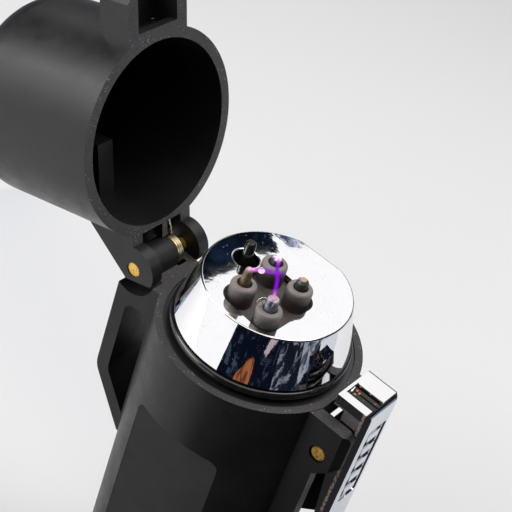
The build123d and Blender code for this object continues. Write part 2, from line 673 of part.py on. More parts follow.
def port_cover():
    """Rubber flap over the charging port, with a plug on its inner face."""
    flap = rounded_panel(COVER_HALF[0], COVER_HALF[1], 1.1, COVER_Y[0], COVER_Y[1], PORT_Z)
    plug = rounded_panel(4.05, 1.2, 1.1, COVER_Y[0] - 0.8, COVER_Y[0] + 0.1, PORT_Z)
    lip = rounded_panel(2.2, 0.4, 0.35, COVER_Y[1] - 0.1, COVER_Y[1] + 0.45, PORT_Z + COVER_HALF[1] - 0.9)
    return flap + plug + lip


def hv_transformer():
    x0, x1, y0, y1 = TRANSFORMER
    return fillet(block(x0, x1, y0, y1, TRANSFORMER_Z[0], TRANSFORMER_Z[1]).edges(), 0.6)


def safety_switch():
    return block(-7.0, -4.9, PLUNGER_Y - 2.4, PLUNGER_Y + 2.4, *SWITCH_Z)


def base_cap():
    """Screwed-on base: flange, plug and three counterbored screw holes."""
    flange = rod(BODY_R, 0, BASE_FLANGE_Z)
    rim = flange.edges().filter_by(GeomType.CIRCLE).sort_by(Axis.Z)[0]
    flange = chamfer(rim, 0.7)
    inner_y = PANEL_Y - PANEL_WALL - 0.1
    plug = rod(BODY_BORE_R - 0.1, BASE_FLANGE_Z - 0.1, PLUG_TOP_Z)
    plug = plug & block(-BODY_R, BODY_R, -inner_y, inner_y, 0, RIM_Z)
    base = flange + plug - rod(9.4, 2.6, PLUG_TOP_Z + 1)
    for x, y in base_screw_places():
        base -= rod(1.75, -1, 1.5, x, y)
        base -= rod(0.82, -1, PLUG_TOP_Z + 1, x, y)
    return base


def base_screw_places():
    for angle in (0, 120, 240):
        yield 10.9 * math.cos(math.radians(angle)), 10.9 * math.sin(math.radians(angle)) * 0.86


def base_screws():
    screws = []
    for x, y in base_screw_places():
        screw = rod(1.6, 0.35, 1.48, x, y) + rod(0.8, 1.4, 7.6, x, y)
        screws.append(screw - block(x - 1.1, x + 1.1, y - 0.2, y + 0.2, 0, 0.75))
    return Compound(children=screws)


def base_gasket():
    return tube(BODY_R - 0.25, BODY_BORE_R + 0.1, GASKET_Z[0] + 0.01, GASKET_Z[1] - 0.01)


def swept(paths, radius):
    wires = []
    for path in paths:
        section = Plane(origin=path @ 0, z_dir=path % 0) * Circle(radius)
        wires.append(sweep(section, path=path))
    return Compound(children=wires)


NODES = {
    "body_shell": body_shell,
    "cap_shell": cap_shell,
    "hinge_pin": hinge_pin,
    "hinge_spring": hinge_spring,
    "hinge_spring_leg": hinge_spring_leg,
    "head_collar": head_collar,
    "seal_ring": seal_ring,
    "head_cover": head_cover,
    "electrode_holder": electrode_holder,
    "electrodes": electrodes,
    "hv_leads": hv_leads,
    "safety_plunger": safety_plunger,
    "plunger_spring": plunger_spring,
    "plunger_guide": plunger_guide,
    "safety_switch": safety_switch,
    "latch_lever": latch_lever,
    "latch_pin": latch_pin,
    "chassis_left": lambda: chassis_half(-1),
    "chassis_right": lambda: chassis_half(1),
    "battery_cell": battery_cell,
    "battery_leads": lambda: swept(battery_leads(), 0.5),
    "main_board": main_board,
    "board_components": board_components,
    "tact_switch": tact_switch,
    "fire_button": fire_button,
    "button_bezel": button_bezel,
    "charge_light": charge_light,
    "usb_receptacle": usb_receptacle,
    "port_cover": port_cover,
    "hv_transformer": hv_transformer,
    "base_cap": base_cap,
    "base_screws": base_screws,
    "base_gasket": base_gasket,
}

os.makedirs("parts", exist_ok=True)
for name, make in NODES.items():
    export_step(make(), f"parts/{name}.step")
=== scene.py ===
import json
import math
import random

import bmesh
import bpy
from mathutils import Matrix, Vector


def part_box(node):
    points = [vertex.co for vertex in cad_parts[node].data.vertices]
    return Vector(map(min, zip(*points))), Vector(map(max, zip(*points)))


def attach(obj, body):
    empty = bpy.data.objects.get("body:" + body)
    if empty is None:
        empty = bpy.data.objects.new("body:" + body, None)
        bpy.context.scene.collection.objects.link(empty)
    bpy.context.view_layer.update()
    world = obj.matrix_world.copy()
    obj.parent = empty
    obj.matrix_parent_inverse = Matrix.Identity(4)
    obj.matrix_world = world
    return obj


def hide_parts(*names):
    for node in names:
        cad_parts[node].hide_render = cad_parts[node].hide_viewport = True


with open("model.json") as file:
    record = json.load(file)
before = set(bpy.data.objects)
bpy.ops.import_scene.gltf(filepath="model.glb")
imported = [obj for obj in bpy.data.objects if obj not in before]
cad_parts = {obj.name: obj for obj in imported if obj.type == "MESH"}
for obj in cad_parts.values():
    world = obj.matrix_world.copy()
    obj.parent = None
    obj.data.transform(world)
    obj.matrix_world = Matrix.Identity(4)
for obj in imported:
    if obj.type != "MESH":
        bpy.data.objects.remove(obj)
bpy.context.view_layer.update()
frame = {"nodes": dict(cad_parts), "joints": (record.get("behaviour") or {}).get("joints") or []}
nodes = frame["nodes"]

# The scene is in metres. Lengths in this script are in millimetres, in the frame of the CAD model.
MM = 0.001


def box_mm(name):
    """A node's lowest and highest corners in millimetres, rounded to take off the mesh's noise."""
    return [[round(value / MM, 2) for value in corner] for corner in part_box(name)]


cap_hinge = next(joint for joint in frame["joints"] if joint["name"] == "cap_hinge")
HINGE = Vector([value / MM for value in cap_hinge["pos_m"]])
OPEN_ANGLE = math.radians(-cap_hinge["range_deg"][0])
RIM = 60.0
HEAD_TOP = box_mm("head_cover")[1][2]
POST_TOP = box_mm("electrode_holder")[1][2]
SLAB_TOP = RIM + 7.9

# Light cards face the head's centre, or stand at these distances round the body's axis
HEAD_CENTRE = Vector((0.0, 0.0, HEAD_TOP))
DARK_WALL_R = 150.0
INNER_WALL_R = DARK_WALL_R - 8
PATCH_R = 55.0

# The latch's outer face, far side and top, and the hollow along its top
LATCH_OUT, LATCH_FAR, LATCH_TOP = box_mm("latch_lever")[1]
HOLLOW_FLOOR = LATCH_TOP - 1.9
HOLLOW_X = (LATCH_OUT - 4.7, LATCH_OUT - 0.7)
HOLLOW_Y = (-2.2, 0.5)


def opened(x, y, z):
    """A point of the closed cap, in millimetres, moved to where the open cap holds it."""
    turn = Matrix.Rotation(-OPEN_ANGLE, 3, "Y")
    return HINGE + turn @ (Vector((x, y, z)) - HINGE)


CAP_AXIS = (opened(0, 0, 1) - opened(0, 0, 0)).normalized()
CAP_MOUTH = opened(0, 0, RIM)


# ---------------------------------------------------------------- materials


class Material:
    """A Principled material whose nodes are added one call at a time."""

    def __init__(self, name, color, roughness, metallic=0.0, **sockets):
        self.mat = bpy.data.materials.new(name)
        self.mat.use_nodes = True
        self.tree = self.mat.node_tree
        self.shader = self.tree.nodes["Principled BSDF"]
        self.put("Base Color", color)
        self.put("Roughness", roughness)
        self.put("Metallic", metallic)
        for key, value in sockets.items():
            self.put(key.replace("_", " "), value)
        coords = self.tree.nodes.new("ShaderNodeTexCoord")
        self.place = self.vector("SCALE", coords.outputs["Object"], scale=1 / MM)
        self.normal = coords.outputs["Normal"]
        self.height = None

    def put(self, socket, value):
        self.feed(self.shader.inputs[socket], value)

    def feed(self, socket, value):
        if isinstance(value, bpy.types.NodeSocket):
            self.tree.links.new(value, socket)
        elif hasattr(value, "__len__") and socket.type == "RGBA":
            socket.default_value = (*value[:3], 1.0)
        else:
            socket.default_value = value

    def add(self, kind, inputs, **settings):
        node = self.tree.nodes.new(kind)
        for key, value in settings.items():
            setattr(node, key, value)
        for key, value in inputs.items():
            self.feed(node.inputs[key], value)
        return node

    def vector(self, operation, a, b=(0, 0, 0), scale=1.0):
        node = self.add("ShaderNodeVectorMath", {0: a, 1: b}, operation=operation)
        if operation == "SCALE":
            node.inputs["Scale"].default_value = scale
        return node.outputs["Value" if operation == "DOT_PRODUCT" else "Vector"]

    def math(self, operation, a, b=0.5):
        return self.add("ShaderNodeMath", {0: a, 1: b}, operation=operation).outputs[0]

    def axis(self, name):
        return self.add("ShaderNodeSeparateXYZ", {0: self.place}).outputs[name]

    def noise(self, per_mm, detail=3.0, rough=0.55, distortion=0.0, vector=None):
        inputs = {
            "Vector": self.place if vector is None else vector,
            "Scale": per_mm,
            "Detail": detail,
            "Roughness": rough,
            "Distortion": distortion,
        }
        return self.add("ShaderNodeTexNoise", inputs).outputs["Fac"]

    def cells(self, per_mm, feature="F1"):
        node = self.add("ShaderNodeTexVoronoi", {"Vector": self.place, "Scale": per_mm}, feature=feature)
        return node.outputs["Distance"]

    def stretched(self, sx, sy, sz):
        return self.vector("MULTIPLY", self.place, (sx, sy, sz))

    def remap(self, value, low, high, to_low=0.0, to_high=1.0):
        inputs = {"Value": value, "From Min": low, "From Max": high, "To Min": to_low, "To Max": to_high}
        return self.add("ShaderNodeMapRange", inputs, clamp=True).outputs["Result"]

    def blend(self, factor, a, b):
        node = self.tree.nodes.new("ShaderNodeMix")
        node.data_type = "RGBA"
        self.feed(node.inputs["Factor"], factor)
        self.feed(node.inputs[6], a)
        self.feed(node.inputs[7], b)
        return node.outputs[2]

    def band(self, value, low, high, soft):
        """1 between low and high, falling to 0 over soft on either side."""
        rise = self.remap(value, low - soft, low)
        fall = self.remap(value, high, high + soft, 1.0, 0.0)
        return self.math("MULTIPLY", rise, fall)

    def bump(self, height, depth_mm, strength=1.0):
        inputs = {"Height": height, "Distance": depth_mm * MM, "Strength": strength}
        if self.height is not None:
            inputs["Normal"] = self.height
        self.height = self.add("ShaderNodeBump", inputs).outputs["Normal"]
        self.put("Normal", self.height)


def specks(m, per_mm, size, share=0.5):
    """Sparse round specks, over a share of the surface: 1 inside, 0 outside."""
    round_spot = m.remap(m.cells(per_mm), size * 0.7, size, 1.0, 0.0)
    sparse = m.remap(m.noise(per_mm * 0.23, 2.0), 1.0 - share, 1.0 - share + 0.04)
    return m.math("MULTIPLY", round_spot, sparse)


def soft_touch(name, face_mask, sheen=0.3, gloss=0.0):
    """Soft-touch black moulding, with the grainy dark grey mating faces that face_mask picks out."""
    m = Material(name, (0.02, 0.02, 0.022), 0.5, Specular_IOR_Level=sheen)
    cloud = m.noise(0.12, 3.0)
    grain = m.noise(9.0, 3.0, 0.7)
    base = m.blend(m.remap(cloud, 0.35, 0.7), (0.009, 0.009, 0.01), (0.016, 0.0155, 0.018))
    face = face_mask(m)
    face_grain = m.remap(m.noise(5.5, 4.0, 0.8), 0.35, 0.7)
    face_color = m.blend(face_grain, (0.03, 0.028, 0.031), (0.1, 0.095, 0.1))
    face_color = m.blend(specks(m, 2.6, 0.2, 0.5), face_color, (0.4, 0.38, 0.4))
    dust = specks(m, 1.7, 0.13, 0.42)
    base = m.blend(face, base, face_color)
    base = m.blend(m.math("MULTIPLY", dust, 0.4), base, (0.16, 0.16, 0.16))
    m.put("Base Color", base)
    rough = m.remap(m.noise(0.35, 4.0, 0.7), 0.3, 0.75, 0.36 - gloss, 0.52 - gloss)
    m.put("Roughness", m.math("ADD", rough, m.math("MULTIPLY", face, 0.2)))
    m.bump(grain, 0.02, 0.35)
    m.bump(m.math("MULTIPLY", face_grain, face), 0.05, 0.5)
    return m.mat


def rim_mask(m):
    level = m.band(m.axis("Z"), RIM - 0.35, RIM + 0.1, 0.05)
    up = m.remap(m.vector("DOT_PRODUCT", m.normal, (0, 0, 1)), 0.85, 0.95)
    return m.math("MULTIPLY", level, up)


def mouth_mask(m):
    from_mouth = m.vector("SUBTRACT", m.place, tuple(CAP_MOUTH))
    depth = m.vector("DOT_PRODUCT", from_mouth, tuple(CAP_AXIS))
    level = m.band(depth, -0.3, 0.3, 0.05)
    out = m.remap(m.vector("DOT_PRODUCT", m.normal, tuple(-CAP_AXIS)), 0.85, 0.95)
    return m.math("MULTIPLY", level, out)


def chrome(name, tint, dust_share, roughness=0.02, painted_areas=None):
    """Polished plate with faint smears and dust; painted_areas may paint light and shade into its colour and
    make parts of it not metal.
    """
    m = Material(name, tint, roughness, 1.0)
    smear = m.noise(0.28, 4.0, 0.6, 0.8)
    dust = specks(m, 2.1, 0.14, dust_share)
    color = m.blend(dust, m.blend(smear, tint, tuple(0.93 * c for c in tint)), (0.5, 0.48, 0.45))
    smear_rough = m.remap(smear, 0.35, 0.8, roughness, roughness + 0.03)
    m.put("Base Color", painted_areas(m, color) if painted_areas else color)
    m.put("Roughness", m.math("ADD", smear_rough, m.math("MULTIPLY", dust, 0.4)))
    m.bump(m.noise(0.55, 2.0), 0.02, 0.25)
    return m.mat


def latch_painted_light(m, color):
    """Painted light and shade on the latch: a blue-grey painted reflection on the outer face, a painted dark
    reflection on the top edges, a near black hollow of painted shade with orange spots, and a copper painted
    highlight at the edge.
    """
    # Painted reflection: a blue-grey tint on the outward face stands in for what the plate reflects there.
    outward = m.remap(m.vector("DOT_PRODUCT", m.normal, (1, 0, 0)), 0.75, 0.95)
    painted_reflection_tint = m.blend(m.remap(m.noise(0.3, 3.0), 0.35, 0.7), (0.62, 0.66, 0.75), (0.74, 0.77, 0.84))
    color = m.blend(outward, color, painted_reflection_tint)
    # Painted dark reflection: a dark line on the rounded outer top edge and along the far side's top edge.
    corner = m.remap(m.vector("DOT_PRODUCT", m.normal, (0.707, 0, 0.707)), 0.93, 0.98)
    far_edge = m.band(m.axis("Y"), LATCH_FAR - 0.18, LATCH_FAR, 0.05)
    color = m.blend(m.math("MULTIPLY", m.math("MAXIMUM", corner, far_edge), 0.85), color, (0.07, 0.06, 0.08))
    # Painted shade: the hollow along the top is coloured near black, with orange spots, and is not metal.
    painted_shade_hollow = m.band(m.axis("Z"), HOLLOW_FLOOR, LATCH_TOP - 0.12, 0.05)
    painted_shade_hollow = m.math("MULTIPLY", painted_shade_hollow, m.band(m.axis("Y"), HOLLOW_Y[0], HOLLOW_Y[1], 0.1))
    painted_shade_hollow = m.math("MULTIPLY", painted_shade_hollow, m.band(m.axis("X"), HOLLOW_X[0], HOLLOW_X[1], 0.05))
    spots = m.blend(specks(m, 1.5, 0.3, 0.55), (0.004, 0.004, 0.005), (0.75, 0.27, 0.09))
    color = m.blend(painted_shade_hollow, color, spots)
    # Painted highlight: a patchy copper line on the near side face, just under the outer edge.
    side = m.remap(m.vector("DOT_PRODUCT", m.normal, (0, -1, 0)), 0.75, 0.95)
    at_edge = m.math("MULTIPLY", side, m.band(m.axis("X"), LATCH_OUT - 1.05, LATCH_OUT - 0.75, 0.08))
    painted_edge_highlight = m.math("MULTIPLY", at_edge, m.remap(m.noise(2.4, 4.0, 0.7), 0.42, 0.6))
    color = m.blend(painted_edge_highlight, color, (0.3, 0.12, 0.06))
    # The painted shade of the hollow and the painted highlight at the edge are not metal.
    painted_not_metal = m.math("MAXIMUM", painted_shade_hollow, painted_edge_highlight)
    m.put("Metallic", m.math("SUBTRACT", 1.0, painted_not_metal))
    return color


def ceramic():
    m = Material("ceramic_grey_brown", (0.15, 0.12, 0.11), 0.62)
    mottled = m.remap(m.noise(1.4, 5.0, 0.65), 0.3, 0.7)
    color = m.blend(mottled, (0.07, 0.056, 0.051), (0.125, 0.105, 0.096))
    # Painted light: the top of each post is lighter, where light falls on it.
    painted_light_tops = m.remap(m.axis("Z"), POST_TOP - 1.6, POST_TOP - 0.2)
    color = m.blend(m.math("MULTIPLY", painted_light_tops, 0.8), color, (0.27, 0.235, 0.22))
    # Painted shade: darker round the foot of each post, and less so on the slab between them.
    foot = m.remap(m.axis("Z"), SLAB_TOP + 0.1, SLAB_TOP + 2.7, 1.0, 0.0)
    painted_shade = m.remap(m.math("ADD", foot, m.math("MULTIPLY", m.noise(0.8, 3.0), 0.3)), 0.2, 0.75)
    on_slab = m.remap(m.axis("Z"), SLAB_TOP + 0.05, SLAB_TOP + 0.15, 0.4, 0.85)
    color = m.blend(m.math("MULTIPLY", painted_shade, on_slab), color, (0.022, 0.017, 0.016))
    pits = specks(m, 3.2, 0.2, 0.5)
    color = m.blend(m.math("MULTIPLY", pits, 0.5), color, (0.03, 0.025, 0.022))
    m.put("Base Color", color)
    m.put("Roughness", m.remap(m.noise(2.5), 0.3, 0.7, 0.42, 0.62))
    m.bump(m.noise(4.5, 5.0, 0.7), 0.06, 0.5)
    m.bump(m.noise(0.9, 2.0), 0.1, 0.3)
    return m.mat


def turned_metal(name, color, roughness, lathe_axis="Y", metallic=1.0):
    """Metal turned or drawn about one axis, with fine rings and slight tarnish."""
    m = Material(name, color, roughness, metallic)
    stretch = {"Y": (1, 6, 1), "Z": (1, 1, 6)}[lathe_axis]
    rings = m.noise(2.2, 4.0, 0.7, vector=m.stretched(*stretch))
    tarnish = m.remap(m.noise(0.9, 4.0, 0.6), 0.35, 0.75)
    dark = tuple(0.5 * c for c in color)
    m.put("Base Color", m.blend(tarnish, color, dark))
    m.put("Roughness", m.remap(rings, 0.3, 0.7, roughness * 0.7, roughness * 1.5))
    m.bump(rings, 0.015, 0.5)
    return m.mat


def rubber(name, color, roughness, coat=0.0):
    m = Material(name, color, roughness, 0.0, Coat_Weight=coat, Coat_Roughness=0.08)
    mottled = m.remap(m.noise(0.9, 4.0), 0.3, 0.7)
    m.put("Base Color", m.blend(mottled, color, tuple(1.7 * c for c in color)))
    m.put("Roughness", m.remap(m.noise(2.0, 3.0), 0.3, 0.7, roughness * 0.8, roughness * 1.2))
    m.bump(m.noise(6.0, 4.0, 0.7), 0.02, 0.4)
    return m.mat


def moulded(name, color, roughness):
    m = Material(name, color, roughness)
    mottled = m.remap(m.noise(0.5, 4.0), 0.3, 0.7)
    m.put("Base Color", m.blend(mottled, color, tuple(0.8 * c for c in color)))
    m.put("Roughness", m.remap(m.noise(1.6, 4.0), 0.3, 0.7, roughness * 0.85, roughness * 1.2))
    m.bump(m.noise(7.0, 3.0, 0.7), 0.015, 0.4)
    return m.mat


def circuit_board():
    m = Material("board_green", (0.01, 0.12, 0.04), 0.3)
    tracks = m.remap(m.cells(0.55, "DISTANCE_TO_EDGE"), 0.05, 0.07, 1.0, 0.0)
    m.put("Base Color", m.blend(tracks, (0.008, 0.09, 0.03), (0.02, 0.2, 0.07)))
    m.put("Roughness", m.remap(m.noise(2.0), 0.3, 0.7, 0.22, 0.38))
    m.bump(tracks, 0.03, 0.5)
    return m.mat


def glowing(name, cold, arc_glow_color, strength, level, length):
    """Metal with a painted glow towards its tip, at the height level, over the given length: emission that
    stands in for the arc's light on the tip.
    """
    m = Material(name, cold, 0.4, 0.7)
    painted_arc_glow = m.remap(m.axis("Z"), level - length, level)
    streaks = m.remap(m.noise(2.6, 4.0, 0.7), 0.3, 0.7)
    m.put("Base Color", m.blend(streaks, cold, tuple(0.45 * c for c in cold)))
    m.put("Emission Color", arc_glow_color)
    m.put("Emission Strength", m.math("MULTIPLY", m.math("POWER", painted_arc_glow, 2.5), strength))
    m.put("Roughness", m.remap(streaks, 0.0, 1.0, 0.3, 0.55))
    m.bump(m.noise(5.0, 4.0, 0.8), 0.05, 0.7)
    return m.mat


def plasma(name, core, ends, strength, start, end, alpha, fade=1.0):
    """Glow along an arc, pinker where it meets the electrodes; past the share fade it thins out."""
    m = Material(name, (0, 0, 0), 1.0)
    along = Vector(end) - Vector(start)
    from_start = m.vector("SUBTRACT", m.place, tuple(start))
    share = m.math("DIVIDE", m.vector("DOT_PRODUCT", from_start, tuple(along.normalized())), along.length)
    off_middle = m.math("ABSOLUTE", m.math("SUBTRACT", share, 0.5))
    middle = m.math("SUBTRACT", 1.0, m.math("MULTIPLY", off_middle, 2.0))
    inward = m.remap(m.math("ADD", middle, m.math("MULTIPLY", m.noise(1.6, 2.0), 0.2)), 0.12, 0.5)
    m.put("Emission Color", m.blend(inward, ends, core))
    m.put("Emission Strength", m.remap(inward, 0.0, 1.0, strength * 1.6, strength))
    m.put("Alpha", m.math("MULTIPLY", m.remap(share, fade - 0.25, fade + 0.05, 1.0, 0.02), alpha))
    m.put("Specular IOR Level", 0.0)
    return m.mat


# ---------------------------------------------------------------- pieces


def finish_node(name, material, edge_mm=0.0):
    """Gives a CAD node its material; edge_mm rounds its sharp edges a little."""
    node = nodes[name]
    node.data.materials.clear()
    node.data.materials.append(material)
    if edge_mm:
        bevel = node.modifiers.new("soft_edges", "BEVEL")
        bevel.width = edge_mm * MM
        bevel.segments = 3
        bevel.limit_method = "ANGLE"
        bevel.angle_limit = math.radians(50)
        bevel.use_clamp_overlap = True


def ridden(obj, body, slot, *stands_for):
    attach(obj, body)
    if stands_for:
        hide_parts(*stands_for)
    return obj


def wire(name, points, radius_mm, material, taper=None):
    """A round wire through points in millimetres; taper gives the share of the radius along it."""
    data = bpy.data.curves.new(name, "CURVE")
    data.dimensions = "3D"
    data.bevel_depth = radius_mm * MM
    data.bevel_resolution = 6
    data.use_fill_caps = True
    spline = data.splines.new("POLY")
    spline.points.add(len(points) - 1)
    for index, (target, point) in enumerate(zip(spline.points, points)):
        target.co = (*(Vector(point) * MM), 1.0)
        if taper:
            target.radius = taper(index / (len(points) - 1))
    spline.use_smooth = True
    data.materials.append(material)
    obj = bpy.data.objects.new(name, data)
    bpy.context.scene.collection.objects.link(obj)
    return obj


def lathe(name, profile, centre, material, segments=48, reshape=None):
    """Turns (radius, height) pairs in millimetres about a vertical axis at centre."""
    mesh = bpy.data.meshes.new(name)
    bm = bmesh.new()
    rings = []
    for radius, height in profile:
        ring = []
        for step in range(segments):
            angle = 2 * math.pi * step / segments
            place = Vector((radius * math.cos(angle), radius * math.sin(angle), height))
            if reshape:
                place = reshape(place)
            ring.append(bm.verts.new((place + Vector(centre)) * MM))
        rings.append(ring)
    for low, high in zip(rings, rings[1:]):
        for step in range(segments):
            after = (step + 1) % segments
            bm.faces.new((low[step], low[after], high[after], high[step]))
    bm.faces.new(list(reversed(rings[0])))
    bm.faces.new(rings[-1])
    for face in bm.faces:
        face.smooth = True
    bm.to_mesh(mesh)
    bm.free()
    mesh.materials.append(material)
    obj = bpy.data.objects.new(name, mesh)
    bpy.context.scene.collection.objects.link(obj)
    return obj


body_black = soft_touch("body_soft_black", rim_mask)
cap_black = soft_touch("cap_soft_black", mouth_mask, sheen=0.42, gloss=0.06)
head_chrome = chrome("head_chrome", (0.86, 0.86, 0.88), 0.5)
latch_chrome = chrome("latch_chrome", (0.84, 0.83, 0.84), 0.3, 0.05, latch_painted_light)
bezel_chrome = chrome("bezel_chrome", (0.7, 0.71, 0.73), 0.3, 0.06)
ceramic_mat = ceramic()
brass = turned_metal("pin_brass", (1.0, 0.6, 0.13), 0.28, metallic=0.7)
spring_brass = turned_metal("spring_wire_pale", (0.72, 0.62, 0.4), 0.25)
steel = turned_metal("screw_steel_dark", (0.3, 0.3, 0.31), 0.35, "Z")
port_steel = turned_metal("port_steel", (0.6, 0.6, 0.61), 0.3)
seal_mat = rubber("seal_gloss_rubber", (0.008, 0.008, 0.009), 0.16, 0.4)
lead_mat = rubber("lead_silicone", (0.4, 0.03, 0.02), 0.5)
button_mat = rubber("button_rubber", (0.018, 0.018, 0.02), 0.45)
cover_mat = rubber("cover_rubber", (0.013, 0.013, 0.014), 0.55)
neck_mat = moulded("neck_black", (0.014, 0.014, 0.015), 0.35)
plunger_mat = moulded("plunger_black", (0.01, 0.01, 0.011), 0.18)
frame_mat = moulded("frame_natural", (0.5, 0.5, 0.47), 0.5)
switch_mat = moulded("switch_black", (0.03, 0.03, 0.03), 0.4)
potting_mat = moulded("potting_black", (0.02, 0.02, 0.026), 0.3)
parts_mat = moulded("component_black", (0.02, 0.02, 0.02), 0.3)
cell_mat = moulded("cell_foil", (0.5, 0.51, 0.53), 0.3)
light_mat = moulded("light_pipe_frosted", (0.7, 0.7, 0.66), 0.35)

finish_node("body_shell", body_black, 0.15)
finish_node("base_cap", body_black)
finish_node("cap_shell", cap_black, 0.15)
finish_node("hinge_pin", brass, 0.25)
finish_node("latch_pin", brass, 0.25)
finish_node("hinge_spring_leg", spring_brass)
finish_node("plunger_spring", steel)
finish_node("base_screws", steel)
finish_node("head_collar", neck_mat)
finish_node("plunger_guide", neck_mat)
finish_node("seal_ring", seal_mat)
finish_node("base_gasket", seal_mat)
finish_node("head_cover", head_chrome)
finish_node("electrode_holder", ceramic_mat)
finish_node("hv_leads", lead_mat)
finish_node("battery_leads", lead_mat)
finish_node("safety_plunger", plunger_mat)
finish_node("safety_switch", switch_mat)
finish_node("tact_switch", switch_mat)
finish_node("latch_lever", latch_chrome, 0.16)
finish_node("chassis_left", frame_mat)
finish_node("chassis_right", frame_mat)
finish_node("battery_cell", cell_mat)
finish_node("main_board", circuit_board())
finish_node("board_components", parts_mat)
finish_node("fire_button", button_mat)
finish_node("button_bezel", bezel_chrome)
finish_node("charge_light", light_mat)
finish_node("usb_receptacle", port_steel)
finish_node("port_cover", cover_mat)
finish_node("hv_transformer", potting_mat)


def hinge_coil():
    """The torsion spring's turns, as one helix round the hinge pin with its short body leg."""
    low, high = (corner.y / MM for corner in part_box("hinge_spring"))
    wire_r = 0.24
    radius = 2.05
    turns = 2.75
    count = 132
    first, last = low + wire_r, high - wire_r
    points = []
    for step in range(count + 1):
        share = step / count
        angle = 2 * math.pi * turns * share - math.radians(90)
        y = first + (last - first) * share
        points.append(HINGE + Vector((radius * math.cos(angle), y, radius * math.sin(angle))))
    return ridden(wire("hinge_coil", points, wire_r, spring_brass), "housing", "spring_wire", "hinge_spring")


hinge_coil()

# Electrodes: one piece each, in the four posts' bores, which are the corners of a parallelogram
POST_CENTRE = [(low + high) / 2 for low, high in zip(*box_mm("electrodes"))]
POST_ACROSS = (2.44, -0.42)
POST_ALONG = (-0.06, 3.21)


def post_place(across, along):
    steps = zip(POST_CENTRE, POST_ACROSS, POST_ALONG)
    x, y = (middle + across * u + along * v for middle, u, v in steps)
    return Vector((x, y, 0))


POSTS = {
    "front": post_place(1, -1),
    "right": post_place(1, 1),
    "back": post_place(-1, 1),
    "left": post_place(-1, -1),
}
RISE = {"front": 1.7, "right": 1.35, "back": 0.8, "left": 2.45}
TIP_Z = {name: POST_TOP + rise for name, rise in RISE.items()}
ROD = 0.85
ROD_FOOT = 56.0
ROD_FULL_TO = 66.0
SLIT_TURN = -62.0


def electrode(name, cold, arc_glow_color, strength, reach, shape, reshape):
    """A rod in its post; shape is (radius share, depth below the tip) from the post's rim to the tip."""
    top = TIP_Z[name]
    material = glowing(f"electrode_{name}_metal", cold, arc_glow_color, strength, top, reach)
    profile = [(ROD, ROD_FOOT), (ROD, ROD_FULL_TO), (ROD * shape[0][0], POST_TOP - 0.6)]
    profile += [(ROD * share, top - depth) for share, depth in shape]
    piece = lathe(f"electrode_{name}", profile, POSTS[name], material, reshape=reshape)
    return ridden(piece, "housing", "electrode_metal", "electrodes")


def worn(seed, top, amount, reach=0.9, split=0.0):
    """Uneven erosion of the last part of a rod, and a slit of the given depth through its tip."""
    draw = random.Random(seed)
    waves = [(draw.uniform(0, 2 * math.pi), draw.uniform(0.4, 1.0)) for _ in range(5)]

    def reshape(place):
        share = max(0.0, min(1.0, (place.z - (top - reach)) / reach))
        angle = math.atan2(place.y, place.x)
        push = sum(size * math.cos((k + 1) * angle + phase) for k, (phase, size) in enumerate(waves)) / 5
        scale = 1 - amount * share * (0.5 + 0.5 * push)
        near_slit = math.exp(-((math.sin(angle - math.radians(SLIT_TURN)) / 0.22) ** 2))
        scale -= split * min(1.0, 1.6 * share) * near_slit
        drop = amount * 0.6 * share * max(0.0, push) + 0.5 * split * share * near_slit
        return Vector((place.x * scale, place.y * scale, place.z - drop))

    return reshape


PLAIN = [(0.98, 1.1), (0.97, 0.7), (0.95, 0.4), (0.92, 0.18), (0.8, 0.06), (0.5, 0.0), (0.2, 0.0)]
TAPERED = [(0.8, 2.2), (0.78, 1.8), (0.74, 1.4), (0.68, 0.8), (0.62, 0.35)]
TAPERED += [(0.5, 0.1), (0.3, 0.0), (0.1, 0.0)]
STUMP = [(0.98, 1.2), (0.98, 0.75), (0.96, 0.5), (0.86, 0.34), (0.6, 0.28)]
STUMP += [(0.54, 0.06), (0.48, 0.0), (0.2, 0.0)]
SPLIT = [(1.0, 1.7), (1.0, 1.3), (0.99, 1.0), (0.98, 0.6), (0.97, 0.3), (0.94, 0.1), (0.8, 0.0), (0.45, 0.06)]

# The second colour of each electrode is the arc's light, painted on its tip as an emission glow.
wear = worn(3, TIP_Z["left"], 0.2, 1.4)
electrode("left", (0.32, 0.23, 0.15), (1.0, 0.5, 0.75), 0.5, 0.7, TAPERED, wear)
wear = worn(5, TIP_Z["front"], 0.16, 0.8, 0.42)
electrode("front", (0.36, 0.38, 0.46), (0.9, 0.45, 0.6), 0.35, 0.5, SPLIT, wear)
wear = worn(8, TIP_Z["right"], 0.1)
electrode("right", (0.1, 0.115, 0.105), (1.0, 0.62, 0.36), 0.5, 0.3, STUMP, wear)
wear = worn(12, TIP_Z["back"], 0.25)
electrode("back", (0.09, 0.095, 0.13), (1.0, 0.7, 0.95), 1.2, 0.22, PLAIN, wear)


def tip(name, x=0.0, y=0.0, down=0.1):
    return POSTS[name] + Vector((x, y, TIP_Z[name] - down))


def stray_wire():
    """Fine wire that loops away from the front electrode and back to its post's rim."""
    centre = tip("front", down=0.0)
    turns = [(-0.55, -0.35, -0.55), (-0.85, -0.5, -0.35), (-1.15, -0.72, -0.42), (-1.38, -0.95, -0.75)]
    turns += [(-1.42, -1.05, -1.2), (-1.25, -0.98, -1.55), (-1.0, -0.75, -1.5), (-0.92, -0.62, -1.2)]
    turns += [(-1.05, -0.7, -0.95), (-1.25, -0.85, -0.95)]
    wire_mat = turned_metal("stray_wire_pale", (0.85, 0.78, 0.66), 0.25)
    piece = wire("stray_wire", [centre + Vector(turn) for turn in turns], 0.075, wire_mat)
    ridden(piece, "housing", "electrode_metal")


stray_wire()


ARC_STEPS = 40


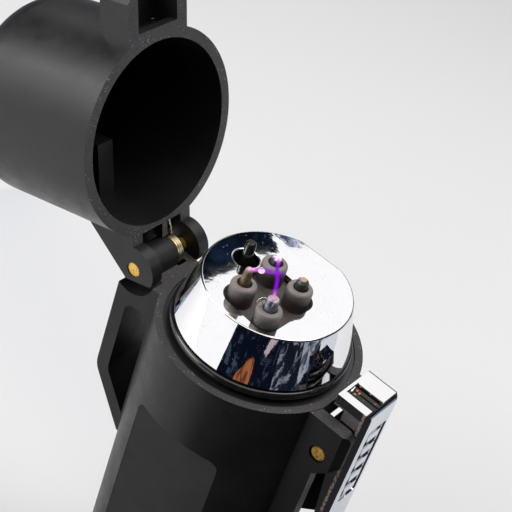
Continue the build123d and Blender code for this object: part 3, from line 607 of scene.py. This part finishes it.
def arc_points(start, end, bow, side_bow, seed):
    """Places along an arc that wavers and bows upward between its ends."""
    draw = random.Random(seed)
    start, end = Vector(start), Vector(end)
    across = (end - start).cross(Vector((0, 0, 1))).normalized()
    phases = [draw.uniform(0, 2 * math.pi) for _ in range(4)]
    points = []
    for step in range(ARC_STEPS + 1):
        share = step / ARC_STEPS
        envelope = math.sin(math.pi * share)
        side = sum(math.sin((k + 2) * math.pi * share + phases[k]) / (k + 1) for k in range(4))
        rise = sum(math.cos((k + 2) * math.pi * share + phases[3 - k]) / (k + 1) for k in range(4))
        wander = across * (side_bow + 0.06 * side) + Vector((0, 0, bow + 0.05 * rise))
        points.append(start.lerp(end, share) + wander * envelope)
    return points


VIOLET = (0.27, 0.01, 0.75)
MAGENTA = (0.42, 0.04, 0.85)
PINK = (1.0, 0.32, 0.85)
ROSE = (1.0, 0.22, 0.42)


def strand(name, points, radius, core, ends, strength, alpha, fade=1.3, waist=0.0):
    glow = plasma(name, core, ends, strength, points[0], points[-1], alpha, fade)
    piece = wire(name, points, radius, glow, taper=lambda t: 1.0 - waist * math.sin(math.pi * t))
    piece.visible_shadow = False
    piece.visible_glossy = False
    ridden(piece, "housing", "electrode_metal")


def spark(name, centre, radii, color, strength, alpha):
    """Bright spot where an arc leaves a tip."""
    m = Material(name, (0, 0, 0), 1.0, Emission_Color=color, Emission_Strength=strength, Alpha=alpha)
    m.put("Emission Strength", m.remap(m.noise(3.0, 2.0), 0.2, 0.8, strength * 0.8, strength * 1.2))
    m.put("Specular IOR Level", 0.0)
    steps = [(math.sin(math.pi * k / 10), -math.cos(math.pi * k / 10)) for k in range(1, 10)]
    piece = lathe(name, [(radii[0] * r, radii[1] * z) for r, z in steps], centre, m.mat, 24)
    piece.visible_shadow = False
    piece.visible_glossy = False
    ridden(piece, "housing", "electrode_metal")


down_arc = arc_points(tip("back", 0.15, 0.1), tip("front", 0.0, 0.1, 0.15), 0.18, 0.0, 21)
strand("arc_back_front_core", down_arc, 0.14, VIOLET, ROSE, 1.0, 0.7, waist=-0.3)
strand("arc_back_front_glow", down_arc, 0.25, VIOLET, PINK, 0.6, 0.22, waist=-0.35)
high_arc = arc_points(tip("left", 0.1, 0.1, 0.05), tip("right", 0.0, 0.0, 0.0), 0.42, 0.0, 34)
low_arc = arc_points(tip("left", 0.1, 0.1, 0.3), tip("right", -0.1, 0.0, 0.1), 0.12, -0.1, 35)
strand("arc_left_right_high", high_arc, 0.12, MAGENTA, PINK, 0.9, 0.45, 0.6, 0.1)
strand("arc_left_right_low", low_arc, 0.12, MAGENTA, PINK, 0.9, 0.45, 0.6, 0.1)
strand("arc_left_right_glow", low_arc, 0.26, MAGENTA, PINK, 0.6, 0.18, 0.6, 0.1)
spark("spark_back", tip("back", 0.1, 0.1, -0.02), (0.36, 0.3), (1.0, 0.85, 1.0), 1.1, 0.95)
spark("spark_left", tip("left", 0.05, 0.0, 0.35), (0.36, 0.42), (1.0, 0.6, 0.95), 0.95, 0.8)
flare_place = low_arc[ARC_STEPS // 5] + Vector((0.0, 0.0, 0.05))
spark("spark_left_flare", flare_place, (0.46, 0.34), (1.0, 0.85, 1.0), 1.0, 0.8)
spark("spark_right", tip("right", -0.45, -0.1, 0.2), (0.3, 0.16), (1.0, 0.45, 0.75), 0.8, 0.45)


# ---------------------------------------------------------------- floor, lights, camera


def sheet_object(name, corners, material):
    mesh = bpy.data.meshes.new(name)
    mesh.from_pydata([Vector(c) * MM for c in corners], [], [tuple(range(len(corners)))])
    mesh.materials.append(material)
    obj = bpy.data.objects.new(name, mesh)
    bpy.context.scene.collection.objects.link(obj)
    return obj


def floor_material():
    m = Material("floor_pale", (0.8, 0.8, 0.8), 0.75)
    m.put("Base Color", m.blend(m.noise(0.01, 2.0), (0.72, 0.72, 0.725), (0.76, 0.76, 0.765)))
    return m.mat


def card_material(name, color, strength, splotch=None, squash=1.0):
    """Flat glow; splotch is (second colour, spots per millimetre, share covered), squashed in height."""
    mat = bpy.data.materials.new(name)
    mat.use_nodes = True
    tree = mat.node_tree
    tree.nodes.clear()
    glow = tree.nodes.new("ShaderNodeEmission")
    glow.inputs["Color"].default_value = (*color, 1.0)
    glow.inputs["Strength"].default_value = strength
    if splotch:
        other, per_mm, share = splotch
        coords = tree.nodes.new("ShaderNodeTexCoord")
        noise = tree.nodes.new("ShaderNodeTexNoise")
        noise.inputs["Scale"].default_value = per_mm / MM
        noise.inputs["Detail"].default_value = 3.0
        noise.inputs["Distortion"].default_value = 1.2
        squashed = tree.nodes.new("ShaderNodeVectorMath")
        squashed.operation = "MULTIPLY"
        squashed.inputs[1].default_value = (1.0, 1.0, squash)
        tree.links.new(coords.outputs["Object"], squashed.inputs[0])
        tree.links.new(squashed.outputs["Vector"], noise.inputs["Vector"])
        edge = tree.nodes.new("ShaderNodeMapRange")
        edge.inputs["From Min"].default_value = 1.0 - share - 0.06
        edge.inputs["From Max"].default_value = 1.0 - share + 0.06
        tree.links.new(noise.outputs["Fac"], edge.inputs["Value"])
        mix = tree.nodes.new("ShaderNodeMix")
        mix.data_type = "RGBA"
        tree.links.new(edge.outputs["Result"], mix.inputs["Factor"])
        mix.inputs[6].default_value = (*color, 1.0)
        mix.inputs[7].default_value = (*other, 1.0)
        tree.links.new(mix.outputs[2], glow.inputs["Color"])
    out = tree.nodes.new("ShaderNodeOutputMaterial")
    tree.links.new(glow.outputs[0], out.inputs["Surface"])
    return mat


def hidden_card(name, corners, material):
    """A reflector or flag that shows in reflections and light, never to the camera."""
    obj = sheet_object(name, corners, material)
    obj.visible_camera = False
    obj.visible_shadow = False
    return obj


def facing_card(name, toward, distance, outline, material):
    """A card square to a direction from the head; outline is (right, up) pairs about that direction."""
    forward = Vector(toward).normalized()
    right = forward.cross(Vector((0, 0, 1))).normalized()
    up = right.cross(forward)
    middle = HEAD_CENTRE + forward * distance
    return hidden_card(name, [middle + right * x + up * y for x, y in outline], material)


def rectangle(width, height, x=0.0, y=0.0):
    w, h = width / 2, height / 2
    return [(x - w, y - h), (x + w, y - h), (x + w, y + h), (x - w, y + h)]


def area_light(name, centre, target, size, power):
    data = bpy.data.lights.new(name, "AREA")
    data.shape = "RECTANGLE"
    data.size, data.size_y = size[0] * MM, size[1] * MM
    data.energy = power
    obj = bpy.data.objects.new(name, data)
    obj.location = Vector(centre) * MM
    obj.rotation_euler = (Vector(target) - Vector(centre)).to_track_quat("-Z", "Y").to_euler()
    bpy.context.scene.collection.objects.link(obj)
    return obj


REACH = 6000.0
WORLD_STRENGTH = 0.05
floor_corners = [(-REACH, -REACH, 0), (REACH, -REACH, 0), (REACH, REACH, 0), (-REACH, REACH, 0)]
sheet_object("floor", floor_corners, floor_material())

world = bpy.data.worlds.new("studio")
world.use_nodes = True
world.node_tree.nodes["Background"].inputs["Color"].default_value = (1.0, 1.0, 1.0, 1.0)
world.node_tree.nodes["Background"].inputs["Strength"].default_value = WORLD_STRENGTH
bpy.context.scene.world = world

area_light("key_left", (-330, -240, 330), (0, 0, 45), (260, 260), 1.3)
area_light("top_soft", (120, 240, 500), (0, 40, 40), (420, 420), 1.85)

# What the polished head shows: a white wall behind, with a black corner and a splotchy strip low down
BACK = (-0.354, 0.691, 0.63)
white = card_material("card_white", (1.0, 1.0, 1.0), 1.15)
black = card_material("card_black", (0.003, 0.005, 0.01), 1.0, ((0.008, 0.018, 0.04), 0.12, 0.42))
navy = card_material("card_navy", (0.01, 0.03, 0.09), 1.0, ((0.62, 0.66, 0.8), 0.55, 0.47))
facing_card("white_back", BACK, 260, rectangle(420, 260, 0, 60), white)
BACK_DISTANCE = 150.0
BLACK_CORNER = [(0.8, -5.0), (-3.4, -2.8), (-7.3, 1.9), (-12.4, 6.4), (-19, 10)]
BLACK_CORNER += [(-40, 16), (-40, -24), (-17.5, -24)]
NAVY_STRIP = [(-1.2, -8.2), (-10, -24), (18, -24), (10, -10.5), (6, -8.2), (2.5, -7.0)]
facing_card("black_corner", BACK, BACK_DISTANCE, BLACK_CORNER, black)
facing_card("navy_strip", BACK, BACK_DISTANCE, NAVY_STRIP, navy)

def wall(name, first, last, radius, low, high, material, steps=12):
    """Upright curved card round the axis between two azimuths in degrees."""
    for step in range(steps):
        ends = [math.radians(first + (last - first) * (step + k) / steps) for k in (0, 1)]
        (x0, y0), (x1, y1) = ((radius * math.cos(a), radius * math.sin(a)) for a in ends)
        corners = [(x0, y0, low), (x1, y1, low), (x1, y1, high), (x0, y0, high)]
        hidden_card(f"{name}_{step}", corners, material)


def patch(name, outline, material):
    """Small card near the head; outline is (azimuth in degrees, height) pairs."""
    turns = [(math.radians(azimuth), height) for azimuth, height in outline]
    corners = [(PATCH_R * math.cos(a), PATCH_R * math.sin(a), height) for a, height in turns]
    hidden_card(name, corners, material)


# Round the sides: white to the left, dark in front and to the right, with small patches near the head
dark = card_material("card_dark", (0.003, 0.005, 0.012), 1.0, ((0.05, 0.07, 0.12), 0.035, 0.38), 9.0)
grey = card_material("card_grey", (0.36, 0.38, 0.44), 1.0, ((0.04, 0.05, 0.08), 0.05, 0.5), 9.0)
smears = ((0.26, 0.28, 0.34), 0.045, 0.4)
patchy_grey = card_material("card_patchy_grey", (0.006, 0.009, 0.018), 1.0, smears, 9.0)
orange = card_material("card_orange", (0.36, 0.12, 0.045), 1.0, ((0.12, 0.04, 0.02), 0.25, 0.45))
pale_pink = card_material("card_pale_pink", (0.62, 0.5, 0.52), 0.8, ((0.1, 0.1, 0.14), 0.3, 0.35))
ORANGE_SHAPE = [(-62, 55), (-67, 54), (-73, 51.6), (-74, 50), (-69, 48.6), (-59, 48)]
ORANGE_SHAPE += [(-58, 52.3), (-59.5, 54.6)]
PINK_SHAPE = [(-52, 60.5), (-36, 60.5), (-38, 58.6), (-44, 57.2), (-49, 55.2), (-53, 55.8), (-50, 58)]
overhead = card_material("card_overhead", (1.0, 0.93, 0.84), 1.6)
wall("wall_dark", -94, 18, DARK_WALL_R, 0.5, 190, dark)
wall("wall_patchy_grey", -34, -6, INNER_WALL_R, 20, 74, patchy_grey, 4)
wall("wall_grey", -6, 26, INNER_WALL_R, 20, 74, grey, 4)
wall("wall_light", 18, 70, DARK_WALL_R, 0.5, 100, card_material("card_light", (0.72, 0.74, 0.78), 1.0), 6)
wall("wall_high", 18, 80, DARK_WALL_R, 100, 260, dark, 6)
wall("wall_white", -178, -94, 200.0, 0.5, 120, white, 6)
wall("wall_splotched", 146, 180, 100.0, 2, 70, navy, 4)
patch("patch_orange", ORANGE_SHAPE, orange)
patch("patch_pink", PINK_SHAPE, pale_pink)
facing_card("overhead_glow", (0.16, -0.36, 0.92), 400, rectangle(240, 240), overhead)
rim_glow = facing_card("rim_glow", (-0.3, -0.35, 0.88), 300, rectangle(260, 150), overhead)
rim_glow.visible_diffuse = False
cap_streak = card_material("card_cap_streak", (1.0, 0.97, 1.0), 4.0)
streak = facing_card("cap_streak", (-0.65, -0.69, 0.3), 260, rectangle(150, 55, 0, 10), cap_streak)
streak.visible_diffuse = False

# A dark sheet just above the floor, from the body's foot to the dark wall
SHADE_Z = 0.6
SHADE_INNER_R = 15.5
inner = [(SHADE_INNER_R, math.radians(a)) for a in range(-100, 31, 10)]
outer = [(DARK_WALL_R, math.radians(a)) for a in range(30, -101, -10)]
floor_outline = [(r * math.cos(a), r * math.sin(a), SHADE_Z) for r, a in inner + outer]
shade = hidden_card("floor_shade", floor_outline, card_material("card_floor_shade", (0.02, 0.02, 0.022), 1.0))
shade.visible_diffuse = False


camera_data = bpy.data.cameras.new("camera")
camera_data.sensor_width = 36.0
camera_data.lens = 105.3
camera_data.clip_start = 0.005
camera = bpy.data.objects.new("camera", camera_data)
CAMERA_PLACE = Vector((62.92, -131.16, 189.82))
CAMERA_AIM = Vector((-3.41, -1.75, 71.86))
CAMERA_ROLL = math.radians(19.54)
camera.location = CAMERA_PLACE * MM
look = (CAMERA_AIM - CAMERA_PLACE).to_track_quat("-Z", "Y").to_matrix()
camera.rotation_euler = (look @ Matrix.Rotation(CAMERA_ROLL, 3, "Z")).to_euler()
bpy.context.scene.collection.objects.link(camera)
bpy.context.scene.camera = camera
bpy.context.scene.view_settings.view_transform = "Standard"

bpy.context.view_layer.update()
